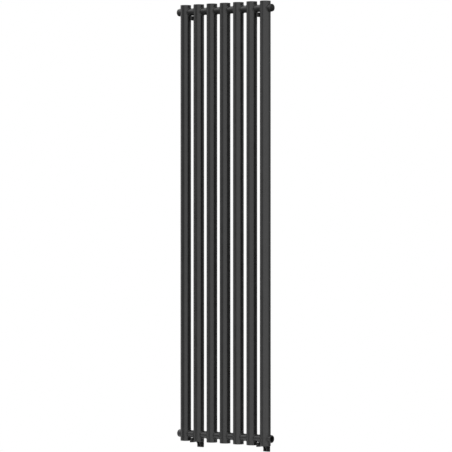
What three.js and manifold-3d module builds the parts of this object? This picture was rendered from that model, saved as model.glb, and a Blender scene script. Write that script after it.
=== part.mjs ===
// A tall wall-hung tube radiator: seven upright round steel tubes, capped at both ends and threaded
// on two round manifolds. The top manifold carries a blind plug and an air vent, the bottom one has
// two open pipe ports. Four wall brackets hold it by a lug on the back of each manifold.
//
// Millimetres. X runs along the radiator, -Y is the room side, +Y the wall, +Z is up.
// The origin is on the wall plane, midway between the four brackets.
import * as THREE from "three";
import Module from "manifold-3d";
import { mergeVertices } from "three/addons/utils/BufferGeometryUtils.js";

const wasm = await Module();
wasm.setup();

// Tubes
const TUBE_COUNT = 7;
const TUBE_PITCH = 60;
const TUBE_LENGTH = 1600;
const TUBE_RADIUS = 19.5;
const TUBE_WALL = 1.5;
const CAP_THICKNESS = 2; // the caps are discs set flush into the tubes' ends

// Manifolds
const MANIFOLD_INSET = 26; // from a tube's end to the manifold's axis
const MANIFOLD_RADIUS = 13.5;
const MANIFOLD_WALL = 2;
const MANIFOLD_LENGTH = 420; // between the faces of its two port bushes
const WATER_HOLE_RADIUS = 6;
const DIVERTER_THICKNESS = 2;
const DIVERTER_BLEED_RADIUS = 3;

// Ports, plug and vent. Their profiles measure height outwards from the port's face.
const PORT_BORE_RADIUS = 9.5; // G 1/2 female thread, drawn plain
const PORT_DEPTH = 18;
const PORT_FLANGE = 2.7;
const PORT_CHAMFER = 0.6;
const PORT_MOUTH_RADIUS = 11.2; // a 45 degree countersink opens the bore to this at the face
const STEM_DEPTH = 14;
const STEM_CHAMFER = 0.7;
const HEAD_RADIUS = 13.2;
const HEAD_EDGE = 1.8; // from here the head's side rounds over to its flat middle
const HEAD_SHOULDER_RADIUS = 12.4;
const HEAD_SHOULDER_HEIGHT = 2.7;
const HEAD_CROWN_RADIUS = 10.6;
const HEAD_CROWN_HEIGHT = 3.2;
const HEAD_FLAT_RADIUS = 8.8;
const HEAD_HEIGHT = 3.4;
const SEAL_RADIUS = 10.3;
const SEAL_SECTION_RADIUS = 0.75;
const SEAL_HEIGHT = 0.6; // it sits on the countersink, in a groove under the plug's head
const GROOVE_RADIUS = 11.6;
const PLUG_SOCKET_ACROSS_FLATS = 10;
const PLUG_SOCKET_DEPTH = 6;
const VENT_RECESS_RADIUS = 8;
const VENT_RECESS_CHAMFER = 0.4;
const VENT_RECESS_FLOOR = 0.6;
const VENT_HUB_RADIUS = 3.6;
const VENT_HUB_HEIGHT = 2.6;
const VENT_SEAT_RADIUS = 1.2;
const VENT_SEAT_DEPTH = 11;
const BLEED_SCREW_RADIUS = 2.1;
const BLEED_SCREW_TIP_RADIUS = 0.8;
const BLEED_SCREW_LIFT = 0.1; // its cone stands this far off the seat
const BLEED_SLOT_WIDTH = 0.9;
const BLEED_SLOT_DEPTH = 1.2;
const OUTLET_HEIGHT = 3;
const OUTLET_CHAMFER = 0.5;
const NOZZLE_RADIUS = 1.3;
const NOZZLE_HEIGHT = 3.9;
const NOZZLE_HOLE_RADIUS = 0.6;
const NOZZLE_OFFSET = 5.8;

// Wall brackets. Their outlines measure from the manifold's axis, towards the wall and up.
const WALL_DISTANCE = 52; // from the manifold's axis to the wall
const BRACKET_X = 150;
const PLATE_WIDTH = 29;
const PLATE_THICKNESS = 3;
const PLATE_TOP = 27;
const PLATE_BOTTOM = -52;
const PLATE_CORNER = 2;
const WALL_SCREW_HOLE_RADIUS = 2.5;
const WALL_SCREWS = [[0, 20.5], [-10.5, -28], [10.5, -28]]; // across the plate, and up
const RIB_THICKNESS = 2.5;
const RIB_GAP = 8;
const RIB_TOP = 14;
const RIB_SHOULDER = 11;
const RIB_CORNER = 4;
const RIB_FOOT = -49;
const NOSE_CENTRE = -3.5; // the strap turns back round this line, in front of the manifold's axis
const SADDLE_FLOOR = -15.2;
const SADDLE_BACK = 17;
const SADDLE_CORNER = 3;
const ARM_BOTTOM = -30.5;
const ARM_BACK = 32.5; // where the arm's level underside ends and slopes down to the foot
const FOOT_FRONT = 44.5;

// Hanging lugs and their bolts
const BOLT_RADIUS = 4;
const BOLT_BACK = 27; // from the manifold's axis towards the wall
const BOLT_HEIGHT = 3;
const BOLT_END = 15;
const HEX_ACROSS_FLATS = 13;
const BOLT_HEAD = 5.3;
const NUT_THICKNESS = 6.5;
const LUG_THICKNESS = 5;
const LUG_TOP = 13;
const LUG_BOTTOM = -9;
const LUG_BACK = 35;
const LUG_CORNER = 4;
const LUG_SLOT_RADIUS = 4.4;

const GAP = 0.3; // clearance between pieces that touch
const TUBE_SEGMENTS = 24;
const PIPE_SEGMENTS = 16;
const SMALL_SEGMENTS = 10;
const CURVE_SEGMENTS = 4;
const NOSE_SEGMENTS = 8;
const PAST = 1; // how far a cutting shape runs past what it cuts

const MANIFOLD_HEIGHT = TUBE_LENGTH / 2 - MANIFOLD_INSET;
const PORT_X = MANIFOLD_LENGTH / 2;
const PLATE_FRONT = WALL_DISTANCE - PLATE_THICKNESS;
const STEM_RADIUS = PORT_BORE_RADIUS - GAP;
const VENT_BORE_RADIUS = BLEED_SCREW_RADIUS + GAP;

// Materials: everything that shows is black. The rubber seals and the diverter's bare steel are hidden.
function finish(color, roughness, metalness) {
  return new THREE.MeshStandardMaterial({ color, roughness, metalness });
}
const powderCoat = () => finish(0x3a3a3b, 0.62, 0.1);
const fittingCoat = () => finish(0x2c2c2d, 0.5, 0.2);
const bracketCoat = () => finish(0x262627, 0.6, 0.1);
const blackPlastic = () => finish(0x1b1b1c, 0.45, 0);
const sealRubber = () => finish(0x101010, 0.9, 0);
const blackZinc = () => finish(0x222224, 0.4, 0.7);
const bareSteel = () => finish(0x6a6a6c, 0.45, 0.9);

// Solids: three.js shapes joined and cut with manifold-3d.
function toSolid(geometry) {
  const shape = geometry.clone();
  shape.deleteAttribute("normal");
  shape.deleteAttribute("uv");
  const merged = mergeVertices(shape, 1e-4);
  const faces = [];
  for (let i = 0; i < merged.index.count; i += 3) {
    const [a, b, c] = [0, 1, 2].map((corner) => merged.index.getX(i + corner));
    if (a !== b && b !== c && c !== a) faces.push(a, b, c);
  }
  return new wasm.Manifold(
    new wasm.Mesh({
      numProp: 3,
      vertProperties: new Float32Array(merged.attributes.position.array),
      triVerts: new Uint32Array(faces),
    }),
  );
}

function toGeometry(solid) {
  const mesh = solid.getMesh();
  const geometry = new THREE.BufferGeometry();
  geometry.setAttribute("position", new THREE.BufferAttribute(new Float32Array(mesh.vertProperties), 3));
  geometry.setIndex(new THREE.BufferAttribute(new Uint32Array(mesh.triVerts), 1));
  geometry.computeVertexNormals();
  return geometry;
}

function combine(body, { add = [], cut = [] }) {
  let solid = toSolid(body);
  for (const piece of add) solid = solid.add(toSolid(piece));
  for (const piece of cut) solid = solid.subtract(toSolid(piece));
  return toGeometry(solid);
}

// A round bar from one end to the other, along the axis named.
function barAlong(axis, radius, from, to, segments) {
  const bar = new THREE.CylinderGeometry(radius, radius, to - from, segments);
  bar.translate(0, (from + to) / 2, 0);
  if (axis === "x") bar.rotateZ(-Math.PI / 2);
  if (axis === "z") bar.rotateX(Math.PI / 2);
  return bar;
}

function hexAlongX(acrossFlats, from, to) {
  return barAlong("x", acrossFlats / Math.sqrt(3), from, to, 6);
}

// A turned piece along X: the profile lists [radius, height] and the port's face is at height 0.
function turnedAlongX(profile, segments = PIPE_SEGMENTS) {
  const points = profile.map(([radius, height]) => new THREE.Vector2(radius, height));
  const turned = new THREE.LatheGeometry(points, segments);
  turned.rotateZ(-Math.PI / 2);
  return turned;
}

// An outline drawn in (towards the wall, up), given thickness along X and centred on the X given.
function slabAcrossX(outline, thickness, centre) {
  const options = { depth: thickness, bevelEnabled: false, curveSegments: CURVE_SEGMENTS };
  const slab = new THREE.ExtrudeGeometry(outline, options);
  slab.translate(0, 0, centre - thickness / 2);
  const basis = new THREE.Matrix4();
  basis.makeBasis(new THREE.Vector3(0, 1, 0), new THREE.Vector3(0, 0, 1), new THREE.Vector3(1, 0, 0));
  return slab.applyMatrix4(basis);
}

// Tubes: each is bored across for both manifolds.
function tubeGeometry() {
  const half = TUBE_LENGTH / 2;
  const bores = [MANIFOLD_HEIGHT, -MANIFOLD_HEIGHT].map((height) => {
    const bore = barAlong("x", MANIFOLD_RADIUS + GAP, -TUBE_RADIUS - PAST, TUBE_RADIUS + PAST, PIPE_SEGMENTS);
    return bore.translate(0, 0, height);
  });
  const inside = barAlong("z", TUBE_RADIUS - TUBE_WALL, -half - PAST, half + PAST, TUBE_SEGMENTS);
  return combine(barAlong("z", TUBE_RADIUS, -half, half, TUBE_SEGMENTS), { cut: [inside, ...bores] });
}

// An end cap: a plain disc, with its outer face at height 0.
function capGeometry() {
  return barAlong("z", TUBE_RADIUS - TUBE_WALL - GAP, -CAP_THICKNESS, 0, TUBE_SEGMENTS);
}

function tubeX(index) {
  return (index - (TUBE_COUNT + 1) / 2) * TUBE_PITCH;
}

// A manifold: a pipe with a water hole up and down inside each tube.
function manifoldGeometry() {
  const half = PORT_X - PORT_FLANGE - GAP;
  const cuts = [barAlong("x", MANIFOLD_RADIUS - MANIFOLD_WALL, -half - PAST, half + PAST, PIPE_SEGMENTS)];
  for (let index = 1; index <= TUBE_COUNT; index += 1) {
    const reach = MANIFOLD_RADIUS + PAST;
    const hole = barAlong("z", WATER_HOLE_RADIUS, -reach, reach, SMALL_SEGMENTS);
    cuts.push(hole.translate(tubeX(index), 0, 0));
  }
  return combine(barAlong("x", MANIFOLD_RADIUS, -half, half, PIPE_SEGMENTS), { cut: cuts });
}

// The disc that closes the bottom manifold between its first two tubes, so that the water rises.
function diverterGeometry() {
  const radius = MANIFOLD_RADIUS - MANIFOLD_WALL - GAP;
  const half = DIVERTER_THICKNESS / 2;
  const bleed = barAlong("x", DIVERTER_BLEED_RADIUS, -half - PAST, half + PAST, SMALL_SEGMENTS);
  return combine(barAlong("x", radius, -half, half, PIPE_SEGMENTS), { cut: [bleed] });
}

function portBushGeometry() {
  const barrel = MANIFOLD_RADIUS - MANIFOLD_WALL - GAP;
  return turnedAlongX([
    [PORT_BORE_RADIUS, -PORT_DEPTH],
    [barrel, -PORT_DEPTH],
    [barrel, -PORT_FLANGE],
    [MANIFOLD_RADIUS, -PORT_FLANGE],
    [MANIFOLD_RADIUS, -PORT_CHAMFER],
    [MANIFOLD_RADIUS - PORT_CHAMFER, 0],
    [PORT_MOUTH_RADIUS, 0],
    [PORT_BORE_RADIUS, PORT_BORE_RADIUS - PORT_MOUTH_RADIUS],
    [PORT_BORE_RADIUS, -PORT_DEPTH],
  ]);
}

// The part of a plug's profile that the blind plug and the vent share: stem, seal groove and rim.
function plugSide() {
  const groove = SEAL_HEIGHT + SEAL_SECTION_RADIUS + GAP;
  return [
    [STEM_RADIUS - STEM_CHAMFER, -STEM_DEPTH],
    [STEM_RADIUS, -STEM_DEPTH + STEM_CHAMFER],
    [STEM_RADIUS, groove],
    [GROOVE_RADIUS, groove],
    [GROOVE_RADIUS, GAP],
    [HEAD_RADIUS, GAP],
    [HEAD_RADIUS, HEAD_EDGE],
    [HEAD_SHOULDER_RADIUS, HEAD_SHOULDER_HEIGHT],
    [HEAD_CROWN_RADIUS, HEAD_CROWN_HEIGHT],
    [HEAD_FLAT_RADIUS, HEAD_HEIGHT],
  ];
}

function blindPlugGeometry() {
  const blank = turnedAlongX([[0, -STEM_DEPTH], ...plugSide(), [0, HEAD_HEIGHT]]);
  const floor = HEAD_HEIGHT - PLUG_SOCKET_DEPTH;
  return combine(blank, { cut: [hexAlongX(PLUG_SOCKET_ACROSS_FLATS, floor, HEAD_HEIGHT + PAST)] });
}

function sealGeometry() {
  const ring = new THREE.TorusGeometry(SEAL_RADIUS, SEAL_SECTION_RADIUS, 6, PIPE_SEGMENTS);
  return ring.rotateY(Math.PI / 2).translate(SEAL_HEIGHT, 0, 0);
}

function ventBodyGeometry() {
  const cone = VENT_BORE_RADIUS - VENT_SEAT_RADIUS;
  return turnedAlongX([
    [VENT_SEAT_RADIUS, -STEM_DEPTH],
    ...plugSide(),
    [VENT_RECESS_RADIUS, HEAD_HEIGHT - VENT_RECESS_CHAMFER],
    [VENT_RECESS_RADIUS, VENT_RECESS_FLOOR],
    [VENT_HUB_RADIUS, VENT_RECESS_FLOOR],
    [VENT_HUB_RADIUS, VENT_HUB_HEIGHT],
    [VENT_BORE_RADIUS, VENT_HUB_HEIGHT],
    [VENT_BORE_RADIUS, -VENT_SEAT_DEPTH + cone],
    [VENT_SEAT_RADIUS, -VENT_SEAT_DEPTH],
    [VENT_SEAT_RADIUS, -STEM_DEPTH],
  ]);
}

// The loose collar round the vent's hub, with the nozzle that aims the escaping water.
function ventOutletGeometry() {
  const inner = VENT_HUB_RADIUS + GAP;
  const outer = VENT_RECESS_RADIUS - GAP;
  const floor = VENT_RECESS_FLOOR + GAP;
  const collar = turnedAlongX([
    [inner, floor],
    [outer, floor],
    [outer, OUTLET_HEIGHT - OUTLET_CHAMFER],
    [outer - OUTLET_CHAMFER, OUTLET_HEIGHT],
    [inner, OUTLET_HEIGHT],
    [inner, floor],
  ]);
  const root = (floor + OUTLET_HEIGHT) / 2;
  const nozzle = barAlong("x", NOZZLE_RADIUS, root, NOZZLE_HEIGHT, SMALL_SEGMENTS);
  const hole = barAlong("x", NOZZLE_HOLE_RADIUS, floor - PAST, NOZZLE_HEIGHT + PAST, SMALL_SEGMENTS);
  const place = (piece) => piece.translate(0, 0, -NOZZLE_OFFSET);
  return combine(collar, { add: [place(nozzle)], cut: [place(hole)] });
}

function bleedScrewGeometry() {
  const tip = -VENT_SEAT_DEPTH + BLEED_SCREW_LIFT;
  const shoulder = tip + BLEED_SCREW_RADIUS - BLEED_SCREW_TIP_RADIUS;
  const blank = turnedAlongX(
    [
      [0, tip],
      [BLEED_SCREW_TIP_RADIUS, tip],
      [BLEED_SCREW_RADIUS, shoulder],
      [BLEED_SCREW_RADIUS, OUTLET_HEIGHT],
      [0, OUTLET_HEIGHT],
    ],
    SMALL_SEGMENTS,
  );
  const slot = new THREE.BoxGeometry(2 * BLEED_SLOT_DEPTH, 3 * BLEED_SCREW_RADIUS, BLEED_SLOT_WIDTH);
  slot.translate(OUTLET_HEIGHT, 0, 0);
  return combine(blank, { cut: [slot] });
}

// The side view of a bracket's rib: arm under the manifold, saddle behind it and foot on the plate.
function ribOutline() {
  const rib = new THREE.Shape();
  rib.moveTo(NOSE_CENTRE, SADDLE_FLOOR);
  rib.lineTo(SADDLE_BACK - SADDLE_CORNER, SADDLE_FLOOR);
  rib.quadraticCurveTo(SADDLE_BACK, SADDLE_FLOOR, SADDLE_BACK, SADDLE_FLOOR + SADDLE_CORNER);
  rib.lineTo(SADDLE_BACK, RIB_SHOULDER - RIB_CORNER);
  rib.quadraticCurveTo(SADDLE_BACK, RIB_SHOULDER, SADDLE_BACK + RIB_CORNER, RIB_SHOULDER);
  rib.lineTo(PLATE_FRONT + PAST, RIB_TOP);
  rib.lineTo(PLATE_FRONT + PAST, RIB_FOOT);
  rib.lineTo(FOOT_FRONT, RIB_FOOT);
  rib.lineTo(ARM_BACK, ARM_BOTTOM);
  rib.lineTo(NOSE_CENTRE, ARM_BOTTOM);
  return rib;
}

// The rounded front end in which one rib turns back into the other: half a ring, seen from above.
function noseGeometry() {
  const ring = new THREE.Shape();
  const outer = RIB_GAP / 2 + RIB_THICKNESS;
  ring.moveTo(outer, PAST);
  ring.absarc(0, 0, outer, 0, -Math.PI, true);
  ring.lineTo(-outer, PAST);
  ring.lineTo(-RIB_GAP / 2, PAST);
  ring.absarc(0, 0, RIB_GAP / 2, -Math.PI, 0, false);
  ring.lineTo(RIB_GAP / 2, PAST);
  const options = { depth: SADDLE_FLOOR - ARM_BOTTOM, bevelEnabled: false, curveSegments: NOSE_SEGMENTS };
  return new THREE.ExtrudeGeometry(ring, options).translate(0, NOSE_CENTRE, ARM_BOTTOM);
}

function wallPlateGeometry() {
  const side = PLATE_WIDTH / 2;
  const plate = new THREE.Shape();
  plate.moveTo(side, PLATE_BOTTOM + PLATE_CORNER);
  plate.lineTo(side, PLATE_TOP - PLATE_CORNER);
  plate.quadraticCurveTo(side, PLATE_TOP, side - PLATE_CORNER, PLATE_TOP);
  plate.lineTo(-side + PLATE_CORNER, PLATE_TOP);
  plate.quadraticCurveTo(-side, PLATE_TOP, -side, PLATE_TOP - PLATE_CORNER);
  plate.lineTo(-side, PLATE_BOTTOM + PLATE_CORNER);
  plate.quadraticCurveTo(-side, PLATE_BOTTOM, -side + PLATE_CORNER, PLATE_BOTTOM);
  plate.lineTo(side - PLATE_CORNER, PLATE_BOTTOM);
  plate.quadraticCurveTo(side, PLATE_BOTTOM, side, PLATE_BOTTOM + PLATE_CORNER);
  for (const [across, height] of WALL_SCREWS) {
    const hole = new THREE.Path();
    hole.absarc(across, height, WALL_SCREW_HOLE_RADIUS, 0, 2 * Math.PI, true);
    plate.holes.push(hole);
  }
  const options = { depth: PLATE_THICKNESS, bevelEnabled: false, curveSegments: CURVE_SEGMENTS };
  return new THREE.ExtrudeGeometry(plate, options).rotateX(Math.PI / 2).translate(0, WALL_DISTANCE, 0);
}

function bracketGeometry() {
  const rib = ribOutline();
  const ribs = [-1, 1].map((side) => slabAcrossX(rib, RIB_THICKNESS, (side * (RIB_GAP + RIB_THICKNESS)) / 2));
  const hole = barAlong("x", BOLT_RADIUS + GAP, -RIB_GAP, RIB_GAP, SMALL_SEGMENTS);
  hole.translate(0, BOLT_BACK, BOLT_HEIGHT);
  return combine(wallPlateGeometry(), { add: [...ribs, noseGeometry()], cut: [hole] });
}

// A lug on the manifold's back, with a slot that drops over the bracket's bolt.
function lugGeometry() {
  const seat = MANIFOLD_RADIUS + GAP;
  const halfAngle = Math.asin(-LUG_BOTTOM / seat);
  const lug = new THREE.Shape();
  lug.absarc(0, 0, seat, halfAngle, -halfAngle, true);
  lug.lineTo(BOLT_BACK - LUG_SLOT_RADIUS, LUG_BOTTOM);
  lug.absarc(BOLT_BACK, BOLT_HEIGHT, LUG_SLOT_RADIUS, Math.PI, 0, true);
  lug.lineTo(BOLT_BACK + LUG_SLOT_RADIUS, LUG_BOTTOM);
  lug.lineTo(LUG_BACK, LUG_BOTTOM);
  lug.lineTo(LUG_BACK, LUG_TOP - LUG_CORNER);
  lug.quadraticCurveTo(LUG_BACK, LUG_TOP, LUG_BACK - LUG_CORNER, LUG_TOP);
  lug.lineTo(BOLT_BACK - LUG_SLOT_RADIUS, LUG_TOP);
  return slabAcrossX(lug, LUG_THICKNESS, 0);
}

function hangerBoltGeometry() {
  const face = RIB_GAP / 2 + RIB_THICKNESS + GAP;
  const shank = barAlong("x", BOLT_RADIUS, -face - PAST, BOLT_END, SMALL_SEGMENTS);
  return combine(hexAlongX(HEX_ACROSS_FLATS, -face - BOLT_HEAD, -face), { add: [shank] });
}

function hangerNutGeometry() {
  const face = RIB_GAP / 2 + RIB_THICKNESS + GAP;
  const bore = barAlong("x", BOLT_RADIUS + GAP, face - PAST, face + NUT_THICKNESS + PAST, SMALL_SEGMENTS);
  return combine(hexAlongX(HEX_ACROSS_FLATS, face, face + NUT_THICKNESS), { cut: [bore] });
}

function piece(name, geometry, material) {
  const mesh = new THREE.Mesh(geometry, material);
  mesh.name = name;
  return mesh;
}

// The seven tubes with their caps, in the manifolds' plane.
function tubeBank() {
  const bank = new THREE.Group();
  const tube = tubeGeometry();
  const cap = capGeometry();
  for (let index = 1; index <= TUBE_COUNT; index += 1) {
    const column = new THREE.Group();
    const capTop = piece(`tube_cap_top_${index}`, cap, powderCoat());
    const capBottom = piece(`tube_cap_bottom_${index}`, cap, powderCoat());
    capTop.position.z = TUBE_LENGTH / 2;
    capBottom.position.z = -TUBE_LENGTH / 2;
    capBottom.rotation.x = Math.PI;
    column.position.x = tubeX(index);
    column.add(piece(`tube_${index}`, tube, powderCoat()), capTop, capBottom);
    bank.add(column);
  }
  return bank;
}

// What is screwed into one port, turned to face out of that end.
function portFittings(side, pieces) {
  const end = new THREE.Group();
  end.position.x = side * PORT_X;
  if (side < 0) end.rotation.z = Math.PI;
  end.add(...pieces);
  return end;
}

function topManifold() {
  const group = new THREE.Group();
  const bush = portBushGeometry();
  group.position.z = MANIFOLD_HEIGHT;
  group.add(
    piece("manifold_top", manifoldGeometry(), powderCoat()),
    portFittings(-1, [
      piece("port_bush_top_left", bush, powderCoat()),
      piece("blind_plug", blindPlugGeometry(), fittingCoat()),
      piece("blind_plug_seal", sealGeometry(), sealRubber()),
    ]),
    portFittings(1, [
      piece("port_bush_top_right", bush, powderCoat()),
      piece("air_vent_body", ventBodyGeometry(), fittingCoat()),
      piece("air_vent_seal", sealGeometry(), sealRubber()),
      piece("air_vent_outlet", ventOutletGeometry(), blackPlastic()),
      piece("bleed_screw", bleedScrewGeometry(), blackZinc()),
    ]),
  );
  return group;
}

function bottomManifold() {
  const group = new THREE.Group();
  const bush = portBushGeometry();
  const diverter = piece("flow_diverter", diverterGeometry(), bareSteel());
  diverter.position.x = (tubeX(1) + tubeX(2)) / 2;
  group.position.z = -MANIFOLD_HEIGHT;
  group.add(
    piece("manifold_bottom", manifoldGeometry(), powderCoat()),
    portFittings(-1, [piece("port_bush_bottom_left", bush, powderCoat())]),
    portFittings(1, [piece("port_bush_bottom_right", bush, powderCoat())]),
    diverter,
  );
  return group;
}

// A bracket with its bolt and nut, and the radiator's lug that hangs on it.
function hangingPoint(place) {
  const point = new THREE.Group();
  const bolt = piece(`hanger_bolt_${place}`, hangerBoltGeometry(), blackZinc());
  const nut = piece(`hanger_nut_${place}`, hangerNutGeometry(), blackZinc());
  for (const fastener of [bolt, nut]) fastener.position.set(0, BOLT_BACK, BOLT_HEIGHT);
  point.add(
    piece(`bracket_${place}`, bracketGeometry(), bracketCoat()),
    piece(`hanger_lug_${place}`, lugGeometry(), powderCoat()),
    bolt,
    nut,
  );
  return point;
}

function hangingPoints() {
  const group = new THREE.Group();
  for (const [level, up] of [["top", 1], ["bottom", -1]]) {
    for (const [side, right] of [["left", -1], ["right", 1]]) {
      const point = hangingPoint(`${level}_${side}`);
      point.position.set(right * BRACKET_X, 0, up * MANIFOLD_HEIGHT);
      group.add(point);
    }
  }
  return group;
}

const radiator = new THREE.Group();
radiator.position.y = -WALL_DISTANCE;
radiator.add(tubeBank(), topManifold(), bottomManifold(), hangingPoints());

const model = new THREE.Group();
model.add(radiator);

export default model;
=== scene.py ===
"""A wall-hung tube radiator with its air vent: fine meshes, materials, studio and camera.

Metres, in the CAD frame: X along the radiator, -Y the room side, +Z up, origin on the wall plane.
Turned and extruded pieces are drawn about their own axis and then put in place.
"""
import math

import bmesh
import bpy
from mathutils import Matrix, Vector


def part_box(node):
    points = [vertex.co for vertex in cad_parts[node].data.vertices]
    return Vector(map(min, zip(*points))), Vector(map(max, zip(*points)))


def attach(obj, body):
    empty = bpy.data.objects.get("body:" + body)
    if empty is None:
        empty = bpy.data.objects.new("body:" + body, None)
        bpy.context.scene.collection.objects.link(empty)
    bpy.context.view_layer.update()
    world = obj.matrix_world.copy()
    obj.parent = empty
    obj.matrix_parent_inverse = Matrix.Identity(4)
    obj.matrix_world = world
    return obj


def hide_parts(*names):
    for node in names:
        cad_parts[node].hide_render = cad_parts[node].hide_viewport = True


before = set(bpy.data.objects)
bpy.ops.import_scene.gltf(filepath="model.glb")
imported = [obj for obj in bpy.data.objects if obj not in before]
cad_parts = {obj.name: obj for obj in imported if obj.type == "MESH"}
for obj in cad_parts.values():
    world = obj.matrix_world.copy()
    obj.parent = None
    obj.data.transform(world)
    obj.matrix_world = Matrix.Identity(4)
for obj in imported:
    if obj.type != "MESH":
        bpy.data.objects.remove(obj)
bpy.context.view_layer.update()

SIDES = (("left", -1), ("right", 1))
LEVELS = (("bottom", -1), ("top", 1))
TUBE_COUNT = 7

# Tubes and their welded end caps
TUBE_WALL = 0.0015
TUBE_LIP = 0.0004
CAP_GAP = 0.00025
CAP_THICKNESS = 0.002
CAP_RECESS = 0.0004
CAP_CHAMFER = 0.0004
CAP_CROWN = 0.0001
CAP_BEAD_RADIUS = 0.0011
CAP_BEAD_HEIGHT = 0.00035
CAP_BEAD_STEPS = 8
BORE_CLEARANCE = 0.0003
WELD_RADIUS = 0.0021
WELD_SINK = 0.0004

# Manifolds and their threaded ports
MANIFOLD_WALL = 0.002
WATER_HOLE_RADIUS = 0.006
SEAM_RADIUS = 0.0012
SEAM_SINK = 0.0005
THREAD_PITCH = 0.001814
THREAD_DEPTH = 0.00095
PORT_BORE_RADIUS = 0.0094
PORT_DEPTH = 0.018
PORT_FLANGE = 0.0027
PORT_MOUTH_RADIUS = 0.0112
PORT_FACE_EASE = 0.0006
THREAD_SLEEVE_RADIUS = 0.0107
THREAD_SLEEVE_GAP = 0.00002
THREAD_START = 0.0002
THREAD_LEAST_RADIUS = 0.001
STEM_DEPTH = 0.014
STEM_CHAMFER = 0.0006
MALE_THREAD_TOP = 0.001
SEAL_RADIUS = 0.0103
SEAL_SECTION_RADIUS = 0.00075
SEAL_HEIGHT = 0.0006
HEAD_RADIUS = 0.0132
HEAD_HEIGHT = 0.0034
HEAD_RIM_HEIGHT = 0.0021
HEAD_RIM_EASE = 0.0012
HEAD_CROWN_EASE = 0.003
HEAD_CROWN_RADIUS = 0.0106
PLUG_FACE_RADIUS = 0.0072
GROOVE_RADIUS = 0.0116
HEAD_SEAT = 0.0003
SOCKET_ACROSS_FLATS = 0.010
SOCKET_DEPTH = 0.006
SOCKET_MOUTH_DEPTH = 0.0006

# Disc inside the bottom manifold
DIVERTER_THICKNESS = 0.002
DIVERTER_HOLE_RADIUS = 0.003

# Air vent
RECESS_RADIUS = 0.008
RECESS_FLOOR = 0.0006
RECESS_RIM = 0.0006
COLLAR_EDGE = 0.0006
HUB_RADIUS = 0.0036
HUB_HEIGHT = 0.0026
OUTLET_HEIGHT = 0.003
NOZZLE_RADIUS = 0.0013
NOZZLE_HOLE_RADIUS = 0.0006
NOZZLE_HEIGHT = 0.0039
NOZZLE_OFFSET = 0.0058
NOZZLE_SINK = 0.0005
NOZZLE_DRILL_END = 0.005
SCREW_RADIUS = 0.0021
SCREW_TIP_RADIUS = 0.0008
SEAT_DEPTH = 0.011
SEAT_GAP = 0.0001
SLOT_WIDTH = 0.0009
SLOT_DEPTH = 0.0012

# Wall brackets: measured from the manifold's axis, towards the wall and up
PLATE_THICKNESS = 0.003
PLATE_CORNER = 0.002
SCREW_HOLE_RADIUS = 0.0025
SCREW_HOLES = ((0, 0.0205), (-0.0105, -0.028), (0.0105, -0.028))
RIB_THICKNESS = 0.0025
RIB_GAP = 0.008
RIB_TOP = 0.014
RIB_SHOULDER = 0.011
RIB_FOOT = -0.049
NOSE_CENTRE = -0.0035
SADDLE_FLOOR = -0.0152
SADDLE_BACK = 0.017
ARM_BOTTOM = -0.0305
ARM_BACK = 0.0325
FOOT_FRONT = 0.0445
STRAP_SINK = 0.001
STRAP_BEVEL = 0.0005
SADDLE_EASE = 0.003
ARM_EASE = 0.004
FOOT_EASE = 0.001
NOSE_STEPS = 32
BRACKET_WELD_RADIUS = 0.0014
BRACKET_WELD_INSET = 0.004

# Bolts through the brackets and the lugs that hang on them. The lug's top is cut back by an angle in degrees,
# and a hexagon's face is round out to a share of the distance to its flats.
BOLT_RADIUS = 0.004
BOLT_BACK = 0.027
BOLT_HEIGHT = 0.003
BOLT_END = 0.015
BOLT_PITCH = 0.00125
BOLT_THREAD_DEPTH = 0.0006
BOLT_CHAMFER = 0.0006
BOLT_SHANK_END = 0.003
BOLT_THREAD_START = 0.0034
HEX_ACROSS_FLATS = 0.013
HEX_FACE_SHARE = 0.96
BOLT_HEAD = 0.0053
NUT_THICKNESS = 0.0065
LUG_THICKNESS = 0.005
LUG_TOP = 0.013
LUG_BOTTOM = -0.009
LUG_BACK = 0.035
LUG_SLOT_RADIUS = 0.0044
LUG_SINK = 0.0002
LUG_TOP_CUT = 2
LUG_TOP_EASE = 0.005
LUG_WELD_RADIUS = 0.0015
LUG_WELD_SHARE = 0.92

# Radii of eased edges, and clearances between pieces that fit together
HAIR_EASE = 0.0001
FINE_EASE = 0.0002
EASE = 0.0003
BEVEL = 0.0004
RUNNING_FIT = 0.0002
LOOSE_FIT = 0.0003

# Faces round a turned piece
ROUND = 96
FINE = 64
BOLT_ROUND = 48
SMALL = 32
TINY = 24

# Mesh building. Edges sharper than the angle (degrees) are bevelled or shaded as sharp. A sweep's reference
# is a direction that no path runs along, and an open sweep narrows to a share of its radius at the ends.
SHARP_ANGLE = 35
WELD_SHARP_ANGLE = 60
BEVEL_STEPS = 2
THREAD_ROWS_PER_PITCH = 8
WELD_SIDES = 12
WELD_RIPPLE_LENGTH = 0.0017
LONG_WELD_RIPPLE = 0.05
SWEEP_END = 0.45
SWEEP_REFERENCE = Vector((0.3, 0.2, 0.93))
CUT_OVERSHOOT = 0.001
MERGE_DISTANCE = 1e-6
SHORTEST_EDGE = 1e-7
ON_AXIS = 1e-9

# The stretch of a noise's values between the two ends of a colour or a gloss
NOISE_LOW = 0.3
NOISE_HIGH = 0.7
WIDE_NOISE_HIGH = 0.75

# Light levels, where the backdrop that the camera sees is 1
BACKDROP = 1.0
BRIGHT_SIDE = 1.40

# Where the bolt's head and the nut sit: just off the strap's outside
STRAP_FACE = RIB_GAP / 2 + RIB_THICKNESS + LOOSE_FIT


# ---------------------------------------------------------------- what the frame says
def middle(node):
    low, high = (Vector(corner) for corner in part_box(node))
    return (low + high) / 2


def tube_x(index):
    return middle(f"tube_{index}").x


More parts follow.
